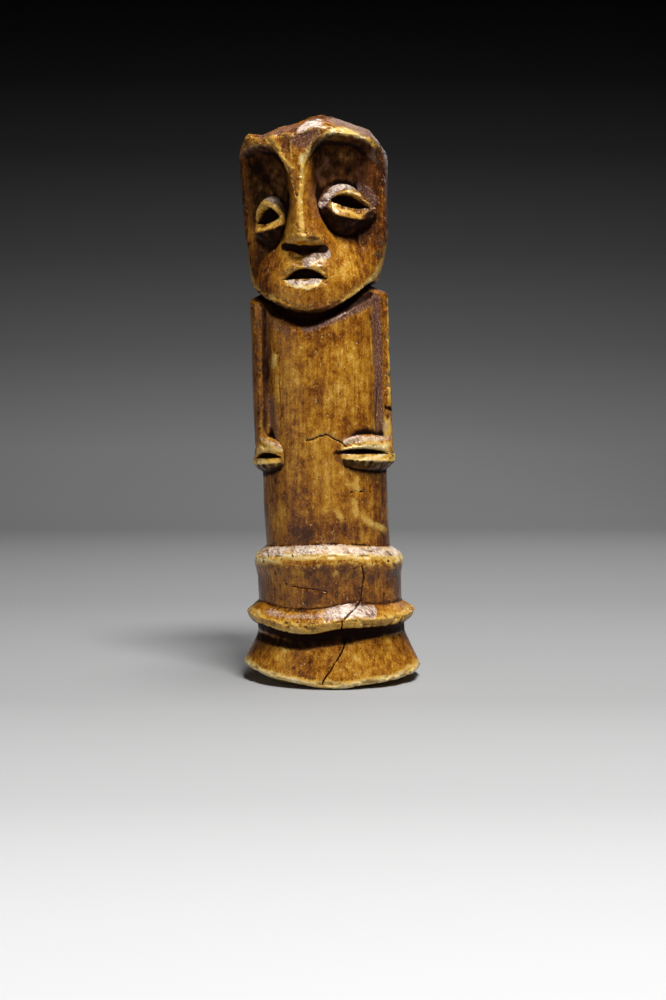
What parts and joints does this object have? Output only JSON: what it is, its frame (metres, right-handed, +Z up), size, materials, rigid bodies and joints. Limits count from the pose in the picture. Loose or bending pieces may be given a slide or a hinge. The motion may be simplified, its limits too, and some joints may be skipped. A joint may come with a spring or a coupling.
{
  "type": "tribal bone figure",
  "caption": "Standing figure carved from one bone, with a hollowed face, slit eyes, low-relief arms and hands, ringed hips and a flared foot.",
  "frame": {"origin": "middle of the figure's width and depth, on the surface that it stands on", "axes": "+Z up from the foot to the crown, -Y towards the face, +X to the viewer's right as the face is looked at"},
  "size_m": [0.049, 0.043, 0.15],
  "materials": {
    "patinated_bone": "satin"
  },
  "bodies": {
    "root": {"bone_figure": "patinated_bone"}
  },
  "joints": []
}
